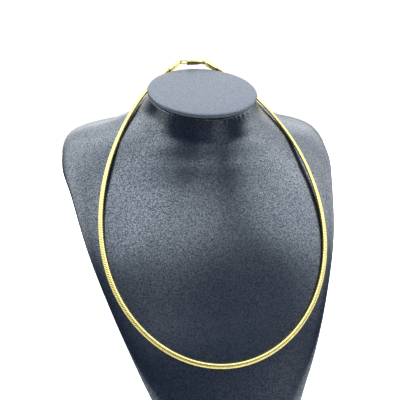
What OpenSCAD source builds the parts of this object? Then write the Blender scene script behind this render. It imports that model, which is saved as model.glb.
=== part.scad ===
// Omega necklace, 18 inches round, on a small leatherette neck bust.
// Millimetres. The origin is the middle of the bust's foot on the table,
// +Z is up and the chest faces -Y.

/* [Bust] */
// Height of the middle of the cap above the table
bust_height = 222; // [216:1:228]
// Width across the shoulders
shoulder_width = 156; // [152:1:160]
// How far the cap stands behind the middle of the foot
cap_setback = 47; // [44:1:50]
// Corner radius round the foot
foot_rounding = 1.2; // [0.6:0.2:2]
// Diameter of the round cap on the neck
cap_diameter = 60; // [58:0.5:61]
// Thickness of the cap
cap_thickness = 3.2; // [2.8:0.2:3.6]
// Rounding of the cap's rim
cap_rounding = 1.2; // [0.6:0.1:1.3]
// Forward tilt of the cap, in degrees
cap_tilt = 20; // [18:0.5:22]

/* [Necklace] */
// Sideways reach of the loop
loop_reach = 55; // [54:0.25:56]
// Half of the loop's run from breastbone to nape, measured up its slope
loop_rise = 87.5; // [86.5:0.25:88.5]
// Slope of the loop where it lies on the chest, in degrees from level
chest_slope = 58.5; // [57:0.5:60]
// Slope of the loop behind the neck, in degrees from level
nape_slope = 44; // [42:0.5:46]
// Width of the omega band
band_width = 2.6; // [2.4:0.1:3]
// Thickness of the omega band at its crown
band_thickness = 1.4; // [1.2:0.1:1.5]

/* [Clasp] */
// Length of each end cap
end_cap_length = 8.2; // [7.8:0.2:8.8]
// Width of each end cap at its mouth
end_cap_width = 3.4; // [3.3:0.1:3.8]
// Thickness of each end cap
end_cap_thickness = 2.3; // [2.2:0.1:2.6]
// Angle of each end cap to the straight clasp, in degrees
end_cap_angle = 41; // [40:0.5:43]
// Wire diameter of the catch loop
wire_diameter = 0.76; // [0.7:0.02:0.8]
// Length of the catch loop between its two cross wires
catch_length = 5.2; // [5:0.1:5.6]
// Width of the clasp body
clasp_width = 3; // [2.9:0.1:3.3]
// Width of the snap lever between the body's cheeks
lever_width = 1.7; // [1.4:0.1:1.8]

/* [Hidden] */
leather = [0.28, 0.31, 0.36];
gold = [0.90, 0.76, 0.36];
fine = 48;

// Where the bust's cap sits
cap_centre = [0, cap_setback, bust_height];
seam_gap = 0.15;
torso_sides = 48;
rings_per_section = 3;

// Sections of the bust, from the neck down to the foot.
// Columns: drop below the cap's centre, half width, middle towards the back, reach
// forwards, reach backwards, squareness of the front, squareness of the back, share
// of the cap's tilt.
neck_drop = (cap_thickness + seam_gap) * cos(cap_tilt);
neck_shift = (cap_thickness + seam_gap) * sin(cap_tilt);
shoulder_half = shoulder_width / 2;
bust_sections = [
    [neck_drop, 28.8, neck_shift, 28.8, 28.8, 2.0, 2.0, 1.00],
    [7, 31.7, 5.6, 33.6, 27, 1.96, 1.85, 1.00],
    [10, 34.9, 8, 36.4, 25.4, 1.89, 1.86, 0.97],
    [13.5, 40.1, 9.4, 38, 23.8, 1.79, 1.6, 0.90],
    [19, 0.677 * shoulder_half, 14.7, 43.2, 23.9, 1.65, 1.85, 0.62],
    [26, 0.944 * shoulder_half, 23.4, 53.7, 31, 1.56, 2.2, 0.49],
    [40, 0.999 * shoulder_half, 7.4, 40.1, 35.3, 1.52, 2.5, 0.30],
    [54, 0.939 * shoulder_half, -11.7, 25.2, 40.2, 1.52, 2.7, 0.15],
    [78, 0.845 * shoulder_half, -34, 13, 46.9, 1.62, 3.0, 0],
    [104, 0.716 * shoulder_half, -51.7, 6.1, 52.5, 1.78, 3.2, 0],
    [130, 0.576 * shoulder_half, -64.5, 5.3, 56.5, 2.3, 3.2, 0],
    [156, 0.448 * shoulder_half, -68.3, 12, 59, 3.0, 2.9, 0],
    [182, 0.4 * shoulder_half, -66.3, 21.5, 60, 2.65, 2.6, 0],
    [203, 0.39 * shoulder_half, -62.5, 30, 60, 2.37, 2.35, 0],
    [bust_height - foot_rounding, 0.394 * shoulder_half, -58, 38, 60, 2.15, 2.15, 0]];

// The loop's lowest point on the chest, from the cap's centre
loop_low = [0, -70.5, -127.5];
// The loop is egg-shaped: these draw its nape in and its sides down
egg_draw = 0.25;
egg_squeeze = -0.05;
// The run up the slope at which the loop starts to lie back, and over how much
bend_start = 95;
bend_run = 50;
// The band ends this many degrees round from the breastbone
band_end = 160;
band_rings = 144;
// How far the band's face turns from the loop's outside towards its front:
// columns are the place round the loop and the turn, both in degrees
face_turns = [[0, 70], [60, 60], [90, 55], [125, 50], [142, 42], [156, 0], [180, 0]];

// Depth of the pocket in an end cap and the room round the band in it
pocket_depth = 1;
pocket_room = 0.15;
// Middle of an end cap's knuckle from its mouth
knuckle_reach = end_cap_length + 1.5;
knuckle_radius = 1;
knuckle_length = 1.4;
ear_thickness = 0.45;
play = 0.1;
pin_radius = 0.35;
dimple_radius = 0.35;
dimple_depth = 0.3;

// Bend of the catch loop's corners
corner_radius = 0.6;

// Clasp body, across its thickness: the plate lies on the side towards the neck
plate_low = -1;
plate_high = -0.5;
lip_low = 0.6;
lip_high = 1.05;
hook_width = 1.3;
hook_wall = 0.5;
cheek_thickness = 0.4;
lever_axis_x = 3;
lever_axis_y = 0.35;
lever_radius = 0.6;
taper_start = 1.5;

// A smooth curve through b and c, with a and d on either side
function smooth(a, b, c, d, f) =
    b + 0.5 * f * (c - a + f * (2 * a - 5 * b + 4 * c - d + f * (3 * (b - c) + d - a)));

// Bust section at a place q counted in rows of the table
function section_at(q) =
    let (last = len(bust_sections) - 1,
         i = min(floor(q), last - 1))
    smooth(bust_sections[max(i - 1, 0)], bust_sections[i], bust_sections[i + 1],
           bust_sections[min(i + 2, last)], q - i);

// One ring of the bust, cut in by the given inset
function bust_ring(s, inset) =
    [for (j = [0 : torso_sides - 1])
        let (a = 360 * j / torso_sides,
             ahead = sin(a) < 0,
             reach = (ahead ? s[3] : s[4]) - inset,
             power = 2 / (ahead ? s[5] : s[6]),
             along = reach * sign(sin(a)) * pow(abs(sin(a)), power),
             tilt = cap_tilt * s[7])
        cap_centre + [(s[1] - inset) * sign(cos(a)) * pow(abs(cos(a)), power),
                      s[2] + along * cos(tilt),
                      along * sin(tilt) - s[0]]];

// Triangles of a tube of rings, closed by a fan at each end
function tube_faces(rings, sides) =
    let (first = rings * sides, last = first + 1)
    concat(
        [for (i = [0 : rings - 2], j = [0 : sides - 1])
            [i * sides + j, i * sides + (j + 1) % sides, (i + 1) * sides + j]],
        [for (i = [0 : rings - 2], j = [0 : sides - 1])
            [i * sides + (j + 1) % sides, (i + 1) * sides + (j + 1) % sides, (i + 1) * sides + j]],
        [for (j = [0 : sides - 1]) [first, (j + 1) % sides, j]],
        [for (j = [0 : sides - 1])
            [last, (rings - 1) * sides + j, (rings - 1) * sides + (j + 1) % sides]]);

function sum_of(ring, k, i = 0) = i == len(ring) ? 0 : ring[i][k] + sum_of(ring, k, i + 1);
function middle(ring) = [for (k = [0 : 2]) sum_of(ring, k) / len(ring)];

// Slope of the loop after a run up from its lowest point
function slope_at(run) =
    chest_slope + (nape_slope - chest_slope) * min(max((run - bend_start) / bend_run, 0), 1);

// Height profile of the loop: steep on the chest, then lying back behind the neck
function along_slope(run) =
    let (bend = min(max(run - bend_start, 0), bend_run),
         turn = (nape_slope - chest_slope) * PI / 180 / bend_run,
         past = max(run - bend_start - bend_run, 0),
         straight = min(run, bend_start))
    [straight * cos(chest_slope) + (sin(slope_at(run)) - sin(chest_slope)) / turn
        + past * cos(nape_slope),
     straight * sin(chest_slope) + (cos(chest_slope) - cos(slope_at(run))) / turn
        + past * sin(nape_slope)];

function loop_run(t) = loop_rise * (1 - cos(t));
function loop_side(t) =
    loop_reach * sin(t) * (1 + egg_draw * cos(t) + egg_squeeze * cos(2 * t));
function loop_point(t) =
    let (p = along_slope(loop_run(t)))
    cap_centre + loop_low + [loop_side(t), p[0], p[1]];

function unit(v) = v / norm(v);
function loop_tangent(t) = unit(loop_point(t + 0.2) - loop_point(t - 0.2));

// Outline of the band, flat against the neck and domed outside
band_outline = [[-0.5, 0.1], [-0.4, 0.38], [-0.2, 0.5], [0.2, 0.5],
                [0.4, 0.38], [0.5, 0.1], [0.5, -0.5], [-0.5, -0.5]];

function band_ring(t) =
    let (slope = slope_at(loop_run(t)),
         ahead = loop_tangent(t),
         front = [0, -sin(slope), cos(slope)],
         outside = cross(ahead, front),
         turn = lookup(abs(t), face_turns),
         face = outside * cos(turn) + front * sin(turn),
         across = cross(face, ahead))
    [for (p = band_outline)
        loop_point(t) + across * p[0] * band_width + face * p[1] * band_thickness];

// The end of the band, seen in the clasp's own plane with the nape at its origin
band_stop = [-loop_side(band_end), loop_run(band_end) - 2 * loop_rise];
cap_mouth = band_stop - pocket_depth * [cos(end_cap_angle), sin(end_cap_angle)];
knuckle = cap_mouth + knuckle_reach * [cos(end_cap_angle), sin(end_cap_angle)];
catch_end = knuckle[0] + catch_length;
hook_inner = catch_end - wire_diameter / 2 - 0.15;
hook_end = hook_inner - hook_wall;
lever_tip = catch_end + wire_diameter / 2 + 0.16;

// Stands things in the clasp's plane: X along the clasp, Y away from the neck
module at_nape() {
    translate(loop_point(180)) rotate([nape_slope, 0, 0]) children();
}

// Stands things in the left end cap, X from its mouth to its knuckle
module at_left_cap() {
    at_nape() translate([cap_mouth[0], cap_mouth[1], 0]) rotate([0, 0, end_cap_angle]) children();
}

module at_right_cap() {
    at_nape() mirror([1, 0, 0]) translate([cap_mouth[0], cap_mouth[1], 0])
        rotate([0, 0, end_cap_angle]) children();
}

// A box given by its two corners
module block(low, high) {
    translate(low) cube(high - low);
}

// A round bar across the clasp's width
module cross_bar(x, y, radius, length) {
    translate([x, y, -length / 2]) cylinder(h = length, r = radius, $fn = fine);
}

// Sleeve that grips the band: a pocketed, domed bar that narrows to its knuckle
module end_cap_sleeve(dimples) {
    half_width = end_cap_width / 2;
    half_thickness = end_cap_thickness / 2;
    nose_half = half_width - 0.4;
    difference() {
        intersection() {
            rotate([90, 0, 90]) linear_extrude(height = end_cap_length)
                polygon([for (a = [0 : 15 : 345])
                    let (c = cos(a), s = sin(a))
                    [half_thickness * sign(c) * pow(abs(c), 0.45),
                     half_width * sign(s) * pow(abs(s), 0.45)]]);
            rotate([90, 0, 0]) linear_extrude(height = 4 * end_cap_thickness, center = true)
                polygon([[0, -half_width], [0.72 * end_cap_length, -half_width],
                         [end_cap_length, -nose_half], [end_cap_length, nose_half],
                         [0.72 * end_cap_length, half_width], [0, half_width]]);
        }
        block([-1, -band_thickness / 2 - pocket_room, -band_width / 2 - pocket_room],
              [pocket_depth + 0.1, band_thickness / 2 + pocket_room, band_width / 2 + pocket_room]);
        for (x = dimples)
            translate([x, -half_thickness - 1, -0.3 * end_cap_width]) rotate([-90, 0, 0])
                cylinder(h = 1 + dimple_depth, r = dimple_radius, $fn = fine);
    }
}

module torso() {
    last = len(bust_sections) - 1;
    rings = concat(
        [for (i = [0 : last * rings_per_section])
            bust_ring(section_at(i / rings_per_section), 0)],
        [bust_ring(bust_sections[last] + [foot_rounding, 0, 0, 0, 0, 0, 0, 0], foot_rounding)]);
    corners = [for (ring = rings) each ring];
    ends = [middle(rings[0]), middle(rings[len(rings) - 1])];
    color(leather)
        polyhedron(points = concat(corners, ends),
                   faces = tube_faces(len(rings), torso_sides), convexity = 6);
}

// Rounded disc, tilted forwards
module neck_cap() {
    radius = cap_diameter / 2;
    color(leather)
        translate(cap_centre) rotate([cap_tilt, 0, 0]) rotate_extrude($fn = 96)
            polygon(concat([[0, -cap_thickness], [radius - cap_rounding, -cap_thickness]],
                [for (a = [-75 : 15 : -15])
                    [radius - cap_rounding + cap_rounding * cos(a),
                     cap_rounding - cap_thickness + cap_rounding * sin(a)]],
                [for (a = [15 : 15 : 90])
                    [radius - cap_rounding + cap_rounding * cos(a),
                     -cap_rounding + cap_rounding * sin(a)]],
                [[0, 0]]));
}

module omega_band() {
    rings = [for (i = [0 : band_rings]) band_ring(-band_end + 2 * band_end * i / band_rings)];
    corners = [for (ring = rings) each ring];
    ends = [middle(rings[0]), middle(rings[band_rings])];
    color(gold)
        polyhedron(points = concat(corners, ends),
                   faces = tube_faces(len(rings), len(band_outline)), convexity = 6);
}

// The left cap ends in a tube that the catch loop turns in
module end_cap_left() {
    color(gold) at_left_cap() difference() {
        union() {
            end_cap_sleeve([1.6]);
            block([end_cap_length - 0.2, -0.5, -knuckle_length / 2],
                  [knuckle_reach, 0.5, knuckle_length / 2]);
            cross_bar(knuckle_reach, 0, knuckle_radius, knuckle_length);
        }
        cross_bar(knuckle_reach, 0, wire_diameter / 2 + play, 2 * knuckle_length);
    }
}

// The right cap ends in a fork for the clasp body's knuckle
module end_cap_right() {
    slot = knuckle_length / 2 + play;
    outside = slot + ear_thickness;
    color(gold) at_right_cap() difference() {
        union() {
            end_cap_sleeve([2.3, 3.9]);
            difference() {
                union() {
                    block([end_cap_length - 0.2, -0.5, -outside], [knuckle_reach, 0.5, outside]);
                    cross_bar(knuckle_reach, 0, knuckle_radius, 2 * outside);
                }
                block([knuckle_reach - knuckle_radius - 2 * play, -2, -slot],
                      [knuckle_reach + 2, 2, slot]);
            }
        }
        cross_bar(knuckle_reach, 0, pin_radius + 0.03, 4 * outside);
    }
}

// Wire loop with rounded corners: two rails and two cross wires
module catch_loop() {
    wire = wire_diameter / 2;
    rail = (clasp_width - wire_diameter) / 2 + play;
    straight = rail - corner_radius;
    color(gold) at_nape() translate([0, knuckle[1], 0]) {
        for (side = [-1, 1])
            translate([knuckle[0] + corner_radius, 0, side * rail]) rotate([0, 90, 0])
                cylinder(h = catch_length - 2 * corner_radius, r = wire, $fn = fine);
        for (x = [knuckle[0], catch_end])
            cross_bar(x, 0, wire, 2 * straight);
        for (x = [0, 1], z = [0, 1])
            translate([(knuckle[0] + catch_end) / 2, 0, 0])
                mirror([x, 0, 0]) mirror([0, 0, z])
                    translate([catch_length / 2 - corner_radius, 0, straight])
                        rotate([90, 0, 0]) rotate_extrude(angle = 90, $fn = fine)
                            translate([corner_radius, 0]) circle(r = wire, $fn = fine);
    }
}

// Plate with a hook at one end, cheeks for the lever and a knuckle at the other end
module clasp_body() {
    half_width = clasp_width / 2;
    cheek_low = lever_width / 2 + play;
    color(gold) at_nape() translate([0, knuckle[1], 0]) difference() {
        union() {
            translate([0, plate_high, 0]) rotate([90, 0, 0])
                linear_extrude(height = plate_high - plate_low)
                    polygon([[hook_end, -half_width], [taper_start, -half_width],
                             [-knuckle[0] - 1, -knuckle_length / 2],
                             [-knuckle[0], -knuckle_length / 2],
                             [-knuckle[0], knuckle_length / 2],
                             [-knuckle[0] - 1, knuckle_length / 2],
                             [taper_start, half_width], [hook_end, half_width]]);
            block([hook_end, plate_low, -hook_width / 2], [hook_inner, lip_high, hook_width / 2]);
            block([hook_end, lip_low, -hook_width / 2],
                  [lever_tip - 0.2, lip_high, hook_width / 2]);
            for (side = [0, 1]) mirror([0, 0, side])
                block([lever_axis_x - 1.6, plate_low, cheek_low],
                      [lever_axis_x + 0.9, lever_axis_y + lever_radius,
                       cheek_low + cheek_thickness]);
            cross_bar(-knuckle[0], 0, knuckle_radius, knuckle_length);
        }
        cross_bar(-knuckle[0], 0, pin_radius + play / 2, 2 * clasp_width);
        cross_bar(lever_axis_x, lever_axis_y, pin_radius - 0.02, 2 * clasp_width);
    }
}

// Snap lever: a strip that closes the hook's mouth with the tab at its tip
module clasp_lever() {
    color(gold) at_nape() translate([0, knuckle[1], 0]) difference() {
        union() {
            block([lever_tip, lever_axis_y + 0.1, -lever_width / 2],
                  [lever_axis_x, lever_axis_y + lever_radius, lever_width / 2]);
            block([lever_tip, plate_high + 0.15, -lever_width / 2],
                  [lever_tip + 0.5, lever_axis_y + 0.2, lever_width / 2]);
            cross_bar(lever_axis_x, lever_axis_y, lever_radius, lever_width);
        }
        cross_bar(lever_axis_x, lever_axis_y, pin_radius + 0.02, 2 * clasp_width);
    }
}

module lever_pin() {
    length = lever_width + 2 * play + 2 * cheek_thickness;
    color(gold) at_nape() translate([0, knuckle[1], 0])
        cross_bar(lever_axis_x, lever_axis_y, pin_radius - 0.05, length);
}

module hinge_pin() {
    length = knuckle_length + 2 * play + 2 * ear_thickness;
    color(gold) at_right_cap() cross_bar(knuckle_reach, 0, pin_radius, length);
}

torso();
neck_cap();
omega_band();
end_cap_left();
end_cap_right();
catch_loop();
clasp_body();
clasp_lever();
lever_pin();
hinge_pin();
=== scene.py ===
"""Omega necklace on a leatherette neck bust: fine pieces, finishes, light and camera."""

import math

import bmesh
import bpy
from mathutils import Matrix, Vector


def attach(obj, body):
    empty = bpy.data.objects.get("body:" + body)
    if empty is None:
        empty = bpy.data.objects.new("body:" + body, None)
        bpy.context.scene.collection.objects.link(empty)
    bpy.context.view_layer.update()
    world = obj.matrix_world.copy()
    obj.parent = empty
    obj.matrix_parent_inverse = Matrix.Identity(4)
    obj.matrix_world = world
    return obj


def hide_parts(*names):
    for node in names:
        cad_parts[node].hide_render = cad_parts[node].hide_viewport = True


bl_info = {
    "name": "Omega necklace on neck bust",
    "version": (1, 0, 0),
    "blender": (4, 5, 0),
    "location": "3D View > Sidebar > Necklace",
    "description": "Dresses the frame of the omega necklace and its leatherette neck bust",
    "category": "Object",
}

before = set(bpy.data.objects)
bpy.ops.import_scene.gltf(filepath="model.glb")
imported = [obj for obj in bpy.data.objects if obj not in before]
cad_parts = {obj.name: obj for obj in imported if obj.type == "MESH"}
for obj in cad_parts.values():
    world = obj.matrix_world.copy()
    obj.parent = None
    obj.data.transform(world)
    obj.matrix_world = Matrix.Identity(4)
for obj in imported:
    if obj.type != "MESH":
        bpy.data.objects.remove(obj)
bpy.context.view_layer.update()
MM = 0.001
FIXED_BODY = "bust_and_collar"
LEVER_BODY = "snap_lever"

# The bust and the loop follow the same rules as the source, in millimetres
CAP_CENTRE = Vector((0, 47, 222))
CAP_TILT = 20
CAP_RADIUS = 30
CAP_THICKNESS = 3.2
FOOT_ROUNDING = 1.2
# How far the crease is rounded that a pointed ring would have in front and behind
CREASE_EASE = 0.09
# Columns: drop below the cap's centre, half width, middle towards the back, reach
# forwards, reach backwards, squareness of the front, squareness of the back, share
# of the cap's tilt
BUST_SECTIONS = [
    (3.148, 28.8, 1.146, 28.8, 28.8, 2.0, 2.0, 1.00),
    (7, 31.7, 5.6, 33.6, 27, 1.96, 1.85, 1.00),
    (10, 34.9, 8, 36.4, 25.4, 1.89, 1.86, 0.97),
    (13.5, 40.1, 9.4, 38, 23.8, 1.79, 1.6, 0.90),
    (19, 52.806, 14.7, 43.2, 23.9, 1.65, 1.85, 0.62),
    (26, 73.632, 23.4, 53.7, 31, 1.56, 2.2, 0.49),
    (40, 77.922, 7.4, 40.1, 35.3, 1.52, 2.5, 0.30),
    (54, 73.242, -11.7, 25.2, 40.2, 1.52, 2.7, 0.15),
    (78, 65.91, -34, 13, 46.9, 1.62, 3.0, 0),
    (104, 55.848, -51.7, 6.1, 52.5, 1.78, 3.2, 0),
    (130, 44.928, -64.5, 5.3, 56.5, 2.3, 3.2, 0),
    (156, 34.944, -68.3, 12, 59, 3.0, 2.9, 0),
    (182, 31.2, -66.3, 21.5, 60, 2.65, 2.6, 0),
    (203, 30.42, -62.5, 30, 60, 2.37, 2.35, 0),
    (220.8, 30.732, -58, 38, 60, 2.15, 2.15, 0),
]
# The loop: its lowest point from the cap's centre, half its width, half its length up
# the slope, how far its lower half is widened, and its two ends (its middle, below 0)
LOOP_LOW = Vector((0, -70.5, -127.5))
LOOP_REACH = 55
LOOP_RISE = 87.5
EGG_DRAW = 0.25
EGG_SQUEEZE = -0.05
# The slope that the loop lies on, in degrees, on the chest and on the nape, and where up
# the slope and over what length the one bends into the other
CHEST_SLOPE = 58.5
NAPE_SLOPE = 44
BEND_START = 95
BEND_RUN = 50
# The angle round from the breastbone at which the band ends, and how far the band's face
# turns from the loop's outside to its front at such angles
BAND_END = 160
FACE_TURNS = [(0, 70), (60, 60), (90, 55), (125, 50), (142, 42), (156, 0), (180, 0)]

# The photograph's camera: where it stands, where it looks and its lens
CAMERA_PLACE = Vector((-59.2, -257.6, 245.3))
CAMERA_PAN = 10.65
CAMERA_PITCH = 15.5
CAMERA_ROLL = -0.5
CAMERA_LENS = 50.4
SENSOR = 36

# The white tent: where each lit panel lies, the cosines at which it fades out and is
# full, and its strength; and the strength of the rest
TENT_PANELS = (
    ((0.0, 0.62, 0.78), 0.5, 0.86, 1.9),
    ((0.0, -0.55, 0.83), 0.845, 0.96, 4.2),
    ((-0.4, -0.47, 0.79), 0.9, 0.985, 2.5),
    ((0.63, -0.39, 0.67), 0.86, 0.985, 4.2),
    ((-0.67, 0.06, 0.74), 0.75, 0.95, 2.6),
    ((0.85, 0.25, 0.4), 0.74, 0.96, 1.5),
    ((0.1, -1.0, -0.25), 0.8, 0.97, 0.12),
    ((0.46, -0.88, 0.04), 0.93, 1.0, 0.7),
)
TENT_GLOOM = 0.1

# In metres: the relief of the leather's grain, and of the marks on the gold
GRAIN_RELIEF = 0.00005
MARK_RELIEF = 0.000004
# The colours of worn gold, and of the core darkened as painted shade, as shares of the gold's
# own
WORN_SHARE = (0.9, 0.84, 0.7)
CORE_PAINTED_SHADE = 0.55
# How far a plate may be turned on its core, in radians
PLATE_PLAY = 0.012


# Settings


class BustSettings(bpy.types.PropertyGroup):
    leather_dark: bpy.props.FloatVectorProperty(
        name="Leatherette", description="Colour of the leatherette in the grain's valleys",
        subtype="COLOR", size=3, min=0, max=1, default=(0.0015, 0.0038, 0.0105))
    leather_light: bpy.props.FloatVectorProperty(
        name="Grain tops", description="Colour of the leatherette on the grain's pebbles",
        subtype="COLOR", size=3, min=0, max=1, default=(0.0034, 0.0062, 0.014))
    grain_pitch: bpy.props.FloatProperty(
        name="Grain pitch", description="Distance between two pebbles of the grain",
        default=0.00062, min=0.0003, max=0.003, unit="LENGTH", precision=5)
    pleats: bpy.props.IntProperty(
        name="Pleats", description="Gathers of the leatherette under the cap",
        default=64, min=0, max=120)
    pleat_depth: bpy.props.FloatProperty(
        name="Pleat depth", description="How deep the gathers are, in millimetres",
        default=0.45, min=0, max=1)


class CollarSettings(bpy.types.PropertyGroup):
    width: bpy.props.FloatProperty(
        name="Width", description="Width of the omega plates",
        default=0.0026, min=0.002, max=0.004, unit="LENGTH", precision=5)
    thickness: bpy.props.FloatProperty(
        name="Thickness", description="Thickness of the collar at its crown",
        default=0.0014, min=0.001, max=0.002, unit="LENGTH", precision=5)
    pitch: bpy.props.FloatProperty(
        name="Plate pitch", description="Distance from one plate to the next",
        default=0.00086, min=0.0006, max=0.002, unit="LENGTH", precision=5)
    gold: bpy.props.FloatVectorProperty(
        name="Gold", description="Colour of the polished gold",
        subtype="COLOR", size=3, min=0, max=1, default=(0.7, 0.6, 0.24))


# Mesh helpers


def smooth(a, b, c, d, f):
    """Place at f between b and c on the smooth curve through a, b, c and d."""
    return b + 0.5 * f * (c - a + f * (2 * a - 5 * b + 4 * c - d + f * (3 * (b - c) + d - a)))


def signed_power(value, power):
    """The value raised to a power, with its sign kept."""
    return math.copysign(abs(value) ** power, value)


def eased_power(value, power):
    """The signed power, rounded where it starts so that a ring has no crease there."""
    if power <= 1:
        return signed_power(value, power)
    eased = (value * value + CREASE_EASE) / (1 + CREASE_EASE)
    return value * eased ** ((power - 1) / 2)


def round_angles(sides):
    """The angles of a ring's corners."""
    return [2 * math.pi * j / sides for j in range(sides)]


def in_scene(name, data):
    """A new object with that data, linked to the scene."""
    item = bpy.data.objects.new(name, data)
    bpy.context.scene.collection.objects.link(item)
    return item


def outward_mesh(name, corners, faces):
    """A mesh of those corners and faces, with every face turned outwards."""
    mesh = bpy.data.meshes.new(name)
    mesh.from_pydata(corners, [], faces)
    bm = bmesh.new()
    bm.from_mesh(mesh)
    bmesh.ops.recalc_face_normals(bm, faces=bm.faces)
    bm.to_mesh(mesh)
    bm.free()
    return mesh


def side_faces(rings, sides):
    """Quads between neighbouring rings of equal size."""
    faces = []
    for i in range(rings - 1):
        low, high = i * sides, (i + 1) * sides
        for j in range(sides):
            k = (j + 1) % sides
            faces.append((low + j, low + k, high + k, high + j))
    return faces


def add_mesh(name, mesh, material, body=FIXED_BODY):
    """A smooth-shaded piece with that mesh and material, riding on its body."""
    mesh.materials.clear()
    mesh.materials.append(material)
    mesh.shade_smooth()
    piece = in_scene(name, mesh)
    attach(piece, body)
    return piece


def add_tube(name, rings, material):
    """A tube through rings in millimetres, closed by a fan at each end."""
    sides = len(rings[0])
    corners = [corner for ring in rings for corner in ring]
    hub, last = len(corners), len(corners) - sides
    corners += [sum(ring, Vector()) / sides for ring in (rings[0], rings[-1])]
    faces = side_faces(len(rings), sides)
    for j in range(sides):
        k = (j + 1) % sides
        faces.append((hub, k, j))
        faces.append((hub + 1, last + j, last + k))
    mesh = outward_mesh(name, [corner * MM for corner in corners], faces)
    return add_mesh(name, mesh, material)


# Finishes


def feed(tree, socket, value):
    """Set an input to a plain value, or link another node's output to it."""
    if isinstance(value, bpy.types.NodeSocket):
        tree.links.new(value, socket)
    else:
        socket.default_value = value


def feed_all(tree, sockets, values):
    """Feed the inputs in their order."""
    for socket, value in zip(sockets, values):
        feed(tree, socket, value)


def feed_named(tree, node, **values):
    """Feed the inputs of those names, where _ stands for a space."""
    for key, value in values.items():
        feed(tree, node.inputs[key.replace("_", " ")], value)


def node_at(tree, kind, **values):
    """A new node with its properties set and its inputs fed by name."""
    node = tree.nodes.new(kind)
    for key, value in values.items():
        if hasattr(node, key):
            setattr(node, key, value)
        else:
            feed_named(tree, node, **{key: value})
    return node


def noise(tree, place, **values):
    """A noise texture at that place."""
    return node_at(tree, "ShaderNodeTexNoise", Vector=place, **values)


def map_range(tree, value, **limits):
    """Output of a Map Range node over a value that varies."""
    return node_at(tree, "ShaderNodeMapRange", Value=value, **limits).outputs["Result"]


def calculated(tree, operation, *operands):
    """Output of a Math node whose operands are numbers or other outputs."""
    node = node_at(tree, "ShaderNodeMath", operation=operation)
    feed_all(tree, node.inputs, operands)
    return node.outputs[0]


def vector_math(tree, operation, *operands):
    """A Vector Math node whose operands are vectors or other outputs."""
    node = node_at(tree, "ShaderNodeVectorMath", operation=operation)
    feed_all(tree, node.inputs, operands)
    return node


def enabled(sockets, label):
    """The socket of that name that is in use, on a node with one set for each data type."""
    return next(s for s in sockets if s.name == label and s.enabled)


def colour_mix(tree, low, high, factor):
    """Output of a mix from the low colour to the high one by a varying factor."""
    mix = node_at(tree, "ShaderNodeMix", data_type="RGBA")
    sockets = [enabled(mix.inputs, label) for label in ("A", "B", "Factor")]
    feed_all(tree, sockets, ((*low, 1), (*high, 1), factor))
    return enabled(mix.outputs, "Result")


def new_group(name, inputs, outputs):
    """A shader node group with its inputs (name, kind, default) and outputs (name, kind)."""
    tree = bpy.data.node_groups.new(name, "ShaderNodeTree")
    for label, kind, default in inputs:
        socket = tree.interface.new_socket(name=label, in_out="INPUT", socket_type=kind)
        if default is not None:
            socket.default_value = default
    for label, kind in outputs:
        tree.interface.new_socket(name=label, in_out="OUTPUT", socket_type=kind)
    return tree, tree.nodes.new("NodeGroupInput"), tree.nodes.new("NodeGroupOutput")


def grain_group():
    """Pebbled leatherette: height of the pebbles, their shine and a slow drift in tone."""
    group = bpy.data.node_groups.get("Leatherette grain")
    if group:
        return group
    tree, start, end = new_group(
        "Leatherette grain",
        [("Vector", "NodeSocketVector", None), ("Cells", "NodeSocketFloat", 1200.0)],
        [("Height", "NodeSocketFloat"), ("Shine", "NodeSocketFloat"),
         ("Tone", "NodeSocketFloat")])
    place = start.outputs["Vector"]
    wobble_reach = 0.0002
    pore_share = 0.07
    patch_share = 0.7
    wobble = noise(tree, place, Scale=700.0, Detail=2.0)
    shift = vector_math(tree, "MULTIPLY_ADD", wobble.outputs["Color"], [wobble_reach] * 3, place)
    cells = node_at(tree, "ShaderNodeTexVoronoi", feature="SMOOTH_F1", Smoothness=0.35,
                    Vector=shift.outputs["Vector"], Scale=start.outputs["Cells"])
    pebble = map_range(tree, cells.outputs["Distance"], From_Min=0.75, From_Max=0.1)
    pores = noise(tree, place, Scale=3200.0, Detail=2.0, Roughness=0.5)
    mottle = noise(tree, place, Scale=1500.0, Detail=1.0)
    patches = map_range(tree, mottle.outputs["Fac"], From_Min=0.38, From_Max=0.62)
    patches = calculated(tree, "MULTIPLY", patches, patch_share)
    drift = noise(tree, place, Scale=22.0, Detail=3.0)
    feed_named(
        tree, end, Tone=drift.outputs["Fac"],
        Height=calculated(tree, "MULTIPLY_ADD", pores.outputs["Fac"], pore_share, pebble),
        Shine=calculated(tree, "MULTIPLY_ADD", pebble, 1 - patch_share, patches))
    return tree


def handling_group():
    """Polished metal that is handled: a mask of wipe marks, and the height of fine specks."""
    group = bpy.data.node_groups.get("Handling marks")
    if group:
        return group
    tree, start, end = new_group(
        "Handling marks",
        [("Vector", "NodeSocketVector", None), ("Fineness", "NodeSocketFloat", 900.0)],
        [("Marks", "NodeSocketFloat"), ("Height", "NodeSocketFloat")])
    place = start.outputs["Vector"]
    soft = noise(tree, place, Scale=start.outputs["Fineness"], Detail=4.0, Roughness=0.65)
    fine = noise(tree, place, Scale=5000.0, Detail=2.0)
    feed_named(
        tree, end, Height=fine.outputs["Fac"],
        Marks=map_range(tree, soft.outputs["Fac"], interpolation_type="SMOOTHSTEP",
                        From_Min=0.4, From_Max=0.75))
    return tree


def new_finish(name, **constants):
    """A material, its tree, its shader with the constants set, and Object coordinates."""
    material = bpy.data.materials.new(name)
    material.use_nodes = True
    tree = material.node_tree
    shader = tree.nodes["Principled BSDF"]
    feed_named(tree, shader, **constants)
    place = tree.nodes.new("ShaderNodeTexCoord").outputs["Object"]
    return material, tree, shader, place


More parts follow.
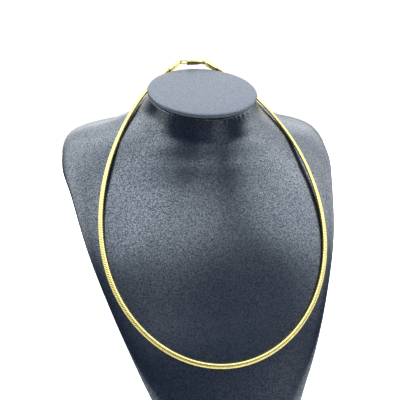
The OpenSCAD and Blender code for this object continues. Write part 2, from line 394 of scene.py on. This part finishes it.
def leatherette(name, settings, lift=1.0, rough=(0.19, 0.28), matt=0.24, coat=1.0,
                tint=(0.65, 0.82, 1.0, 1.0)):
    """Dark leatherette: a dull ground under a coat that shines in patches of the grain."""
    material, tree, shader, place = new_finish(
        name, IOR=1.62, Specular_IOR_Level=matt, Specular_Tint=tint,
        Coat_IOR=1.82, Coat_Roughness=sum(rough) / 2)
    grain = node_at(tree, "ShaderNodeGroup", node_tree=grain_group(), Vector=place,
                    Cells=1 / settings.grain_pitch)
    height = grain.outputs["Height"]
    # The lift scales the leatherette's colour up: above 1 it is painted light, a lighter copy of
    # the same leatherette
    dark = [channel * lift for channel in settings.leather_dark]
    light = [channel * lift for channel in settings.leather_light]
    blend = calculated(tree, "MULTIPLY", height, grain.outputs["Tone"])
    bump = node_at(tree, "ShaderNodeBump", Strength=0.6, Distance=GRAIN_RELIEF, Height=height)
    feed_named(
        tree, shader, Base_Color=colour_mix(tree, dark, light, blend),
        Roughness=map_range(tree, height, To_Min=rough[1], To_Max=rough[0]),
        Coat_Weight=map_range(tree, grain.outputs["Shine"], To_Max=coat),
        Normal=bump.outputs["Normal"])
    return material


def gold_finish(name, colour, rough=(0.12, 0.26), fineness=900.0):
    """Polished gold whose wipe marks are a little darker and duller."""
    material, tree, shader, place = new_finish(name, Metallic=1.0)
    handling = node_at(tree, "ShaderNodeGroup", node_tree=handling_group(), Vector=place,
                       Fineness=fineness)
    marks = handling.outputs["Marks"]
    worn = [channel * share for channel, share in zip(colour, WORN_SHARE)]
    bump = node_at(tree, "ShaderNodeBump", Strength=0.5, Distance=MARK_RELIEF,
                   Height=handling.outputs["Height"])
    feed_named(
        tree, shader, Base_Color=colour_mix(tree, colour, worn, marks),
        Roughness=map_range(tree, marks, To_Min=rough[0], To_Max=rough[1]),
        Normal=bump.outputs["Normal"])
    return material


# Bust


def section_at(q):
    """The bust's section at a place counted in rows of its table."""
    last = len(BUST_SECTIONS) - 1
    i = min(int(q), last - 1)
    rows = [BUST_SECTIONS[min(max(k, 0), last)] for k in (i - 1, i, i + 1, i + 2)]
    return [smooth(a, b, c, d, q - i) for a, b, c, d in zip(*rows)]


def bust_corner(section, angle, inset):
    """A corner of the bust's ring, cut in by the inset, in millimetres."""
    drop, half, middle, forwards, backwards, square_front, square_back, share = section
    ahead = math.sin(angle) < 0
    reach = (forwards if ahead else backwards) - inset
    power = 2 / (square_front if ahead else square_back)
    along = reach * signed_power(math.sin(angle), power)
    tilt = math.radians(CAP_TILT * share)
    return CAP_CENTRE + Vector((
        (half - inset) * eased_power(math.cos(angle), power),
        middle + along * math.cos(tilt),
        along * math.sin(tilt) - drop))


def gather(angle, depth, count):
    """Depth of the leatherette's gathers round the neck, fullest at the front right."""
    # Waves that aren't in step with each other keep the gathers uneven in place and depth
    sweep = count * angle + 1.7 * math.sin(5 * angle + 0.6) + 0.9 * math.sin(11 * angle)
    fullness = 0.6 + 0.4 * math.sin(3 * angle + 2.1) * math.sin(7 * angle)
    fullness *= 0.2 + 0.8 * ((1 + math.cos(angle + 0.95)) / 2) ** 3
    return depth * fullness * (0.5 - 0.5 * math.cos(sweep))


class NECKLACE_OT_bust(bpy.types.Operator):
    """Cover the bust in one smooth leatherette skin, gathered under the cap"""
    bl_idname = "necklace.bust"
    bl_label = "Leatherette bust"

    def execute(self, context):
        settings = context.scene.necklace_bust
        around = round_angles(288)
        roll_height = 0.6
        roll_in = 1.3
        pleat_end = 3.5
        rings_a_row = 8
        neck, foot = BUST_SECTIONS[0], BUST_SECTIONS[-1]
        # Places counted in rows of the table, close together under the cap, where the skin
        # rolls in and is gathered
        places = [0, 0.03, 0.07, 0.12, 0.18, 0.26, 0.36, 0.48, 0.62, 0.78]
        places += [1 + i / rings_a_row
                   for i in range(rings_a_row * (len(BUST_SECTIONS) - 2) + 1)]
        rings = []
        for place in places:
            section = section_at(place)
            below = section[0] - neck[0]
            lift = max(1 - below / roll_height, 0)
            roll = roll_in * (1 - math.sqrt(1 - lift * lift))
            fade = max(1 - below / pleat_end, 0) ** 1.5
            rings.append([
                bust_corner(section, angle, roll + fade * gather(
                    angle, settings.pleat_depth, settings.pleats))
                for angle in around])
        for turn in (30, 60, 90):
            low = (foot[0] + FOOT_ROUNDING * math.sin(math.radians(turn)), *foot[1:])
            inset = FOOT_ROUNDING * (1 - math.cos(math.radians(turn)))
            rings.append([bust_corner(low, angle, inset) for angle in around])
        finish = leatherette("Leatherette, pebbled", settings)
        skin = add_tube("bust_skin", rings, finish)
        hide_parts("torso")
        return {"FINISHED"}


class NECKLACE_OT_cap(bpy.types.Operator):
    """Lay the padded round cap on the neck"""
    bl_idname = "necklace.cap"
    bl_label = "Neck cap"

    def execute(self, context):
        settings = context.scene.necklace_bust
        around = round_angles(192)
        rim = 1.3
        crown = 0.35
        flat = CAP_RADIUS - rim
        crown_rings, under_rings = 14, 4
        # Radius and height from the crown out over the rim and back in underneath
        profile = []
        for i in range(1, crown_rings + 1):
            radius = flat * i / crown_rings
            profile.append((radius, -crown * (radius / CAP_RADIUS) ** 4))
        for turns, middle in ((range(80, -1, -10), profile[-1][1] - rim),
                              (range(-10, -91, -10), rim - CAP_THICKNESS)):
            profile += [(flat + rim * math.cos(math.radians(turn)),
                         middle + rim * math.sin(math.radians(turn))) for turn in turns]
        profile += [(flat * (1 - i / (under_rings + 1)), -CAP_THICKNESS)
                    for i in range(1, under_rings + 1)]
        tilt = Matrix.Rotation(math.radians(CAP_TILT), 3, "X")
        rings = [[CAP_CENTRE + tilt @ Vector((radius * math.cos(angle),
                                              radius * math.sin(angle), z))
                  for angle in around] for radius, z in profile]
        # The cap takes the bust's leatherette colour lifted 2.4 times: painted light, for the
        # brighter light that falls on the cap's top
        finish = leatherette("Leatherette, cap", settings, lift=2.4, rough=(0.42, 0.5),
                             matt=0.6, coat=0.53, tint=(0.82, 0.91, 1.0, 1.0))
        cover = add_tube("cap_cover", rings, finish)
        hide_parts("neck_cap")
        return {"FINISHED"}


# Collar


def loop_run(t):
    """How far up the slope the loop is at an angle round, in millimetres."""
    return LOOP_RISE * (1 - math.cos(t))


def slope_at(run):
    """The slope under the loop that far up, in radians."""
    bend = min(max((run - BEND_START) / BEND_RUN, 0), 1)
    return math.radians(CHEST_SLOPE + (NAPE_SLOPE - CHEST_SLOPE) * bend)


def loop_point(t):
    """The collar's middle line at an angle round from the breastbone, in millimetres."""
    chest, nape = math.radians(CHEST_SLOPE), math.radians(NAPE_SLOPE)
    turn = (nape - chest) / BEND_RUN
    run = loop_run(t)
    straight, past = min(run, BEND_START), max(run - BEND_START - BEND_RUN, 0)
    slope = slope_at(run)
    side = LOOP_REACH * math.sin(t) * (
        1 + EGG_DRAW * math.cos(t) + EGG_SQUEEZE * math.cos(2 * t))
    back = (straight * math.cos(chest) + (math.sin(slope) - math.sin(chest)) / turn
            + past * math.cos(nape))
    rise = (straight * math.sin(chest) + (math.cos(chest) - math.cos(slope)) / turn
            + past * math.sin(nape))
    return CAP_CENTRE + LOOP_LOW + Vector((side, back, rise))


def face_turn(degrees):
    """How far the band's face is turned to the front there, in radians."""
    for (a, low), (b, high) in zip(FACE_TURNS, FACE_TURNS[1:]):
        if a <= degrees <= b:
            return math.radians(low + (high - low) * (degrees - a) / (b - a))
    return 0.0


def collar_frame(t):
    """Middle, direction ahead, face and across of the collar at an angle round."""
    step = math.radians(0.2)
    ahead = (loop_point(t + step) - loop_point(t - step)).normalized()
    slope = slope_at(loop_run(t))
    front = Vector((0, -math.sin(slope), math.cos(slope)))
    outside = ahead.cross(front)
    turn = face_turn(abs(math.degrees(t)))
    face = (outside * math.cos(turn) + front * math.sin(turn)).normalized()
    return loop_point(t), ahead, face, face.cross(ahead)


def even_places(pitch):
    """Angles round the loop for plates one pitch apart along it, in millimetres."""
    steps = 6000
    margin = 0.6
    end = math.radians(BAND_END)
    angles = [-end + 2 * end * i / steps for i in range(steps + 1)]
    lengths = [0.0]
    for a, b in zip(angles, angles[1:]):
        lengths.append(lengths[-1] + (loop_point(b) - loop_point(a)).length)
    length = lengths[-1] - 2 * margin
    count = int(length / pitch)
    spacing = length / count
    places = []
    k = 0
    for i in range(count + 1):
        wanted = margin + i * spacing
        while k < steps - 1 and lengths[k + 1] < wanted:
            k += 1
        share = (wanted - lengths[k]) / (lengths[k + 1] - lengths[k])
        places.append(angles[k] + (angles[k + 1] - angles[k]) * min(share, 1))
    return places


def unit_plate():
    """One omega plate in a unit box: X across, Y along the collar, Z out of its face."""
    outline = [(-0.5, -0.45), (-0.5, 0.08), (-0.475, 0.22), (-0.42, 0.34), (-0.33, 0.43),
               (-0.2, 0.48), (0.2, 0.48), (0.33, 0.43), (0.42, 0.34), (0.475, 0.22),
               (0.5, 0.08), (0.5, -0.45)]
    foot = outline[0][1]
    shrink = 0.93
    rings = [(-0.48, shrink), (-0.3, 1.0), (0.3, 1.0), (0.48, shrink)]
    sides = len(outline)
    corners = [(x * size, y, (z - foot) * size + foot) for y, size in rings for x, z in outline]
    faces = side_faces(len(rings), sides)
    faces.append(tuple(reversed(range(sides))))
    faces.append(tuple(range((len(rings) - 1) * sides, len(rings) * sides)))
    return in_scene("unit_plate", outward_mesh("unit_plate", corners, faces))


def plates_tree():
    """Geometry Nodes: a plate on every point of the path, turned by its attributes."""
    tree = bpy.data.node_groups.new("Plates on a path", "GeometryNodeTree")
    sockets = {}
    for label, kind, default in (
            ("Path", "NodeSocketGeometry", None), ("Plate", "NodeSocketObject", None),
            ("Width", "NodeSocketFloat", 0.0026), ("Length", "NodeSocketFloat", 0.0008),
            ("Thickness", "NodeSocketFloat", 0.0014), ("Play", "NodeSocketFloat", 0.01),
            ("Finish", "NodeSocketMaterial", None)):
        socket = tree.interface.new_socket(name=label, in_out="INPUT", socket_type=kind)
        if default is not None:
            socket.default_value = default
        sockets[label] = socket.identifier
    tree.interface.new_socket(name="Collar", in_out="OUTPUT", socket_type="NodeSocketGeometry")
    start, end = tree.nodes.new("NodeGroupInput"), tree.nodes.new("NodeGroupOutput")
    given = start.outputs
    face, ahead = (
        node_at(tree, "GeometryNodeInputNamedAttribute", data_type="FLOAT_VECTOR", Name=label)
        for label in ("face", "ahead"))
    axes = node_at(tree, "FunctionNodeAxesToRotation", primary_axis="Z", secondary_axis="Y")
    feed_all(tree, axes.inputs, (face.outputs["Attribute"], ahead.outputs["Attribute"]))
    loose = node_at(tree, "FunctionNodeRandomValue", data_type="FLOAT_VECTOR", Seed=7,
                    Min=(-1, -1, -1), Max=(1, 1, 1))
    play = node_at(tree, "ShaderNodeVectorMath", operation="SCALE",
                   Vector=loose.outputs["Value"], Scale=given["Play"])
    turn = node_at(tree, "FunctionNodeRotateRotation", rotation_space="LOCAL")
    feed_all(tree, turn.inputs, (axes.outputs[0], play.outputs[0]))
    size = node_at(tree, "ShaderNodeCombineXYZ", X=given["Width"], Y=given["Length"],
                   Z=given["Thickness"])
    plate = node_at(tree, "GeometryNodeObjectInfo", transform_space="ORIGINAL",
                    Object=given["Plate"])
    spread = node_at(tree, "GeometryNodeInstanceOnPoints", Points=given["Path"],
                     Instance=plate.outputs["Geometry"], Rotation=turn.outputs[0],
                     Scale=size.outputs[0])
    real = node_at(tree, "GeometryNodeRealizeInstances", Geometry=spread.outputs["Instances"])
    paint = node_at(tree, "GeometryNodeSetMaterial", Geometry=real.outputs["Geometry"],
                    Material=given["Finish"])
    feed_named(tree, end, Collar=paint.outputs["Geometry"])
    return tree, sockets


def collar_path(places):
    """Points at the plates' middles, with their directions as attributes."""
    mesh = bpy.data.meshes.new("collar_path")
    frames = [collar_frame(t) for t in places]
    mesh.from_pydata([f[0] * MM for f in frames], [], [])
    for label, column in (("ahead", 1), ("face", 2)):
        values = mesh.attributes.new(label, "FLOAT_VECTOR", "POINT")
        for item, f in zip(values.data, frames):
            item.vector = f[column]
    return in_scene("collar_path", mesh)


class NECKLACE_OT_collar(bpy.types.Operator):
    """Thread the omega plates on their core round the loop"""
    bl_idname = "necklace.collar"
    bl_label = "Omega collar"

    def execute(self, context):
        settings = context.scene.necklace_collar
        finish = gold_finish("Gold, omega plates", settings.gold)
        plate = unit_plate()
        path = collar_path(even_places(settings.pitch / MM))
        modifier = path.modifiers.new("Plates", "NODES")
        modifier.node_group, sockets = plates_tree()
        for label, value in (
                ("Plate", plate), ("Width", settings.width), ("Length", settings.pitch),
                ("Thickness", settings.thickness), ("Play", PLATE_PLAY), ("Finish", finish)):
            modifier[sockets[label]] = value
        seen = path.evaluated_get(context.evaluated_depsgraph_get())
        mesh = bpy.data.meshes.new_from_object(seen)
        mesh.name = "omega_plates"
        path.modifiers.remove(modifier)
        bpy.data.objects.remove(path)
        bpy.data.objects.remove(plate)
        plates = add_mesh("omega_plates", mesh, finish)
        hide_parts("omega_band")
        self.thread_core(settings)
        return {"FINISHED"}

    def thread_core(self, settings):
        """The flat core that the plates close round, seen at the back and between them."""
        # The core's colour is the gold darkened: painted shade, for where the core lies under
        # and between the plates
        shaded = [channel * CORE_PAINTED_SHADE for channel in settings.gold]
        finish = gold_finish("Gold, core", shaded, rough=(0.3, 0.45), fineness=2500.0)
        width, thickness = settings.width / MM, settings.thickness / MM
        outline = [(-0.46, -0.5), (0.46, -0.5), (0.46, 0.06), (0.3, 0.36), (-0.3, 0.36),
                   (-0.46, 0.06)]
        end = math.radians(BAND_END)
        count = 260
        rings = []
        for i in range(count + 1):
            place, _, face, across = collar_frame(-end + 2 * end * i / count)
            rings.append([place + across * x * width + face * z * thickness
                          for x, z in outline])
        add_tube("omega_core", rings, finish)


# Clasp


def rounded_copy(node, material, edge, body):
    """The CAD node with its loose triangles merged and its sharp edges rounded."""
    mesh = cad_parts[node].data.copy()
    bm = bmesh.new()
    bm.from_mesh(mesh)
    bmesh.ops.remove_doubles(bm, verts=bm.verts, dist=2e-6)
    bmesh.ops.dissolve_limit(bm, angle_limit=math.radians(0.5), verts=bm.verts, edges=bm.edges)
    bm.to_mesh(mesh)
    bm.free()
    draft = in_scene("draft", mesh)
    bevel = draft.modifiers.new("Rounding", "BEVEL")
    bevel.width = edge
    bevel.segments = 3
    bevel.limit_method = "ANGLE"
    bevel.angle_limit = math.radians(32)
    seen = draft.evaluated_get(bpy.context.evaluated_depsgraph_get())
    final = bpy.data.meshes.new_from_object(seen)
    bpy.data.objects.remove(draft)
    final.name = node + "_polished"
    piece = add_mesh(final.name, final, material, body)
    final.set_sharp_from_angle(angle=math.radians(40))
    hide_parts(node)


class NECKLACE_OT_clasp(bpy.types.Operator):
    """Polish the end caps, the catch loop, the clasp, its lever and its pins"""
    bl_idname = "necklace.clasp"
    bl_label = "Clasp"

    def execute(self, context):
        gold = context.scene.necklace_collar.gold
        cast = gold_finish("Gold, cast", gold, rough=(0.3, 0.42), fineness=1500.0)
        wire = gold_finish("Gold, wire", gold, rough=(0.1, 0.2), fineness=2000.0)
        # Each piece, its finish and how far its edges are rounded, in metres
        for node, finish, edge in (
                ("end_cap_left", cast, 0.00014), ("end_cap_right", cast, 0.00014),
                ("clasp_body", cast, 0.00009), ("clasp_lever", cast, 0.00007),
                ("lever_pin", wire, 0.00008), ("hinge_pin", wire, 0.00008),
                ("catch_loop", wire, 0.00002)):
            body = LEVER_BODY if node == "clasp_lever" else FIXED_BODY
            rounded_copy(node, finish, edge, body)
        return {"FINISHED"}


# Studio


def soft_box(name, place, target, size, power):
    """A rectangular light that faces its target and that the camera doesn't see."""
    light = bpy.data.lights.new(name, "AREA")
    light.shape = "RECTANGLE"
    light.size, light.size_y = size
    light.energy = power
    lamp = in_scene(name, light)
    lamp.location = place
    lamp.rotation_euler = (Vector(target) - Vector(place)).to_track_quat("-Z", "Y").to_euler()
    lamp.visible_camera = False


def studio_world():
    """A dim tent with lit panels, which the camera sees as plain white."""
    world = bpy.data.worlds.new("White tent")
    world.use_nodes = True
    tree = world.node_tree
    tree.nodes.clear()
    outlook = tree.nodes.new("ShaderNodeTexCoord").outputs["Generated"]
    glow = TENT_GLOOM
    for direction, dim, full, strength in TENT_PANELS:
        facing = vector_math(tree, "DOT_PRODUCT", outlook, Vector(direction).normalized())
        panel = map_range(tree, facing.outputs["Value"], interpolation_type="SMOOTHSTEP",
                          From_Min=dim, From_Max=full, To_Max=strength)
        glow = calculated(tree, "ADD", glow, panel)
    tent = node_at(tree, "ShaderNodeBackground", Color=(0.9, 0.95, 1.0, 1.0), Strength=glow)
    plain = node_at(tree, "ShaderNodeBackground", Color=(1, 1, 1, 1), Strength=1.05)
    rays = tree.nodes.new("ShaderNodeLightPath")
    mix = tree.nodes.new("ShaderNodeMixShader")
    feed_all(tree, mix.inputs,
             (rays.outputs["Is Camera Ray"], tent.outputs[0], plain.outputs[0]))
    node_at(tree, "ShaderNodeOutputWorld", Surface=mix.outputs[0])
    return world


def floor_finish():
    """A pale floor that the camera sees well lit and that throws little light back up."""
    glow_seen = 0.5
    material, tree, shader, _ = new_finish(
        "Pale floor", Roughness=0.7, Emission_Color=(1.0, 1.0, 1.0, 1.0))
    seen = tree.nodes.new("ShaderNodeLightPath").outputs["Is Camera Ray"]
    feed_named(
        tree, shader, Base_Color=colour_mix(tree, (0.6, 0.6, 0.61), (0.9, 0.9, 0.9), seen),
        Emission_Strength=calculated(tree, "MULTIPLY", seen, glow_seen))
    return material


def camera_turn():
    """The camera's turn from its pan, pitch and roll."""
    pan, pitch, roll = (math.radians(a) for a in (CAMERA_PAN, CAMERA_PITCH, CAMERA_ROLL))
    ahead = Vector((math.sin(pan) * math.cos(pitch), math.cos(pan) * math.cos(pitch),
                    -math.sin(pitch)))
    right = Vector((math.cos(pan), -math.sin(pan), 0))
    up = right.cross(ahead)
    right, up = (right * math.cos(roll) + up * math.sin(roll),
                 up * math.cos(roll) - right * math.sin(roll))
    return Matrix((right, up, -ahead)).transposed().to_4x4()


class NECKLACE_OT_studio(bpy.types.Operator):
    """Set the pale floor, the soft lights and the photograph's camera"""
    bl_idname = "necklace.studio"
    bl_label = "Studio"

    def execute(self, context):
        scene = context.scene
        scene.world = studio_world()
        scene.view_settings.view_transform = "Standard"
        corners = [(-900, -330, 0), (900, -330, 0), (900, 1100, 0), (-900, 1100, 0)]
        mesh = bpy.data.meshes.new("floor")
        mesh.from_pydata([Vector(c) * MM for c in corners], [], [(0, 1, 2, 3)])
        mesh.materials.append(floor_finish())
        floor = in_scene("floor", mesh)
        aim = (0, 0, 0.15)
        soft_box("Top softbox", (0, 0.45, 0.85), aim, (0.7, 0.6), 1.5)
        soft_box("Left softbox", (-0.7, 0.05, 0.4), aim, (0.4, 0.5), 0.8)
        soft_box("Right softbox", (0.7, 0.05, 0.42), aim, (0.4, 0.5), 0.8)
        soft_box("Front card", (0.035, -0.34, 0.345), (0, 0, 0.185), (0.24, 0.12), 0.078)
        camera = in_scene("Camera", bpy.data.cameras.new("Camera"))
        camera.data.sensor_fit = "HORIZONTAL"
        camera.data.sensor_width = SENSOR
        camera.data.lens = CAMERA_LENS
        camera.data.clip_start = 0.01
        camera.matrix_world = Matrix.Translation(CAMERA_PLACE * MM) @ camera_turn()
        scene.camera = camera
        return {"FINISHED"}


class NECKLACE_PT_panel(bpy.types.Panel):
    """The necklace's settings and its build steps"""
    bl_idname = "NECKLACE_PT_panel"
    bl_label = "Omega necklace"
    bl_space_type = "VIEW_3D"
    bl_region_type = "UI"
    bl_category = "Necklace"

    def draw(self, context):
        for settings in (context.scene.necklace_bust, context.scene.necklace_collar):
            box = self.layout.box()
            for key in settings.__annotations__:
                box.prop(settings, key)
        for operator in OPERATORS:
            self.layout.operator(operator.bl_idname)


OPERATORS = (NECKLACE_OT_bust, NECKLACE_OT_cap, NECKLACE_OT_collar, NECKLACE_OT_clasp,
             NECKLACE_OT_studio)
CLASSES = (BustSettings, CollarSettings, *OPERATORS, NECKLACE_PT_panel)


def register():
    for item in CLASSES:
        bpy.utils.register_class(item)
    bpy.types.Scene.necklace_bust = bpy.props.PointerProperty(type=BustSettings)
    bpy.types.Scene.necklace_collar = bpy.props.PointerProperty(type=CollarSettings)


def unregister():
    del bpy.types.Scene.necklace_collar
    del bpy.types.Scene.necklace_bust
    for item in reversed(CLASSES):
        bpy.utils.unregister_class(item)


def main():
    register()
    bpy.ops.necklace.bust()
    bpy.ops.necklace.cap()
    bpy.ops.necklace.collar()
    bpy.ops.necklace.clasp()
    bpy.ops.necklace.studio()


if __name__ == "__main__":
    main()
